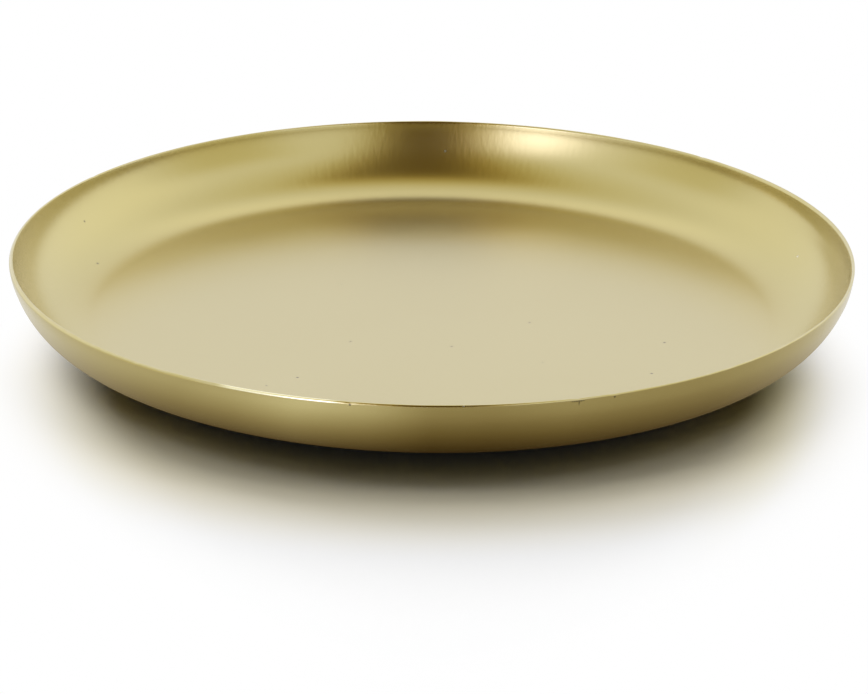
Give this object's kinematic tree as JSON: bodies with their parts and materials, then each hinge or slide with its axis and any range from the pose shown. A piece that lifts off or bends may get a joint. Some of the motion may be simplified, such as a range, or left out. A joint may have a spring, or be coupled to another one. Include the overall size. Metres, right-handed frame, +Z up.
{
  "type": "candle plate",
  "caption": "Shallow round dish of thin gold-coloured metal with a coved wall, on felt pads, for standing pillar candles in.",
  "frame": {"origin": "middle of the plate, at the level of the table that the felt pads stand on", "axes": "+Z up along the plate's axis; the pads lie on the diagonals between X and Y"},
  "size_m": [0.22, 0.22, 0.0205],
  "materials": {
    "gold_metal": "satin",
    "felt": "matte"
  },
  "bodies": {
    "root": {"plate": "gold_metal", "felt_pad_1": "felt", "felt_pad_2": "felt", "felt_pad_3": "felt", "felt_pad_4": "felt"}
  },
  "joints": []
}
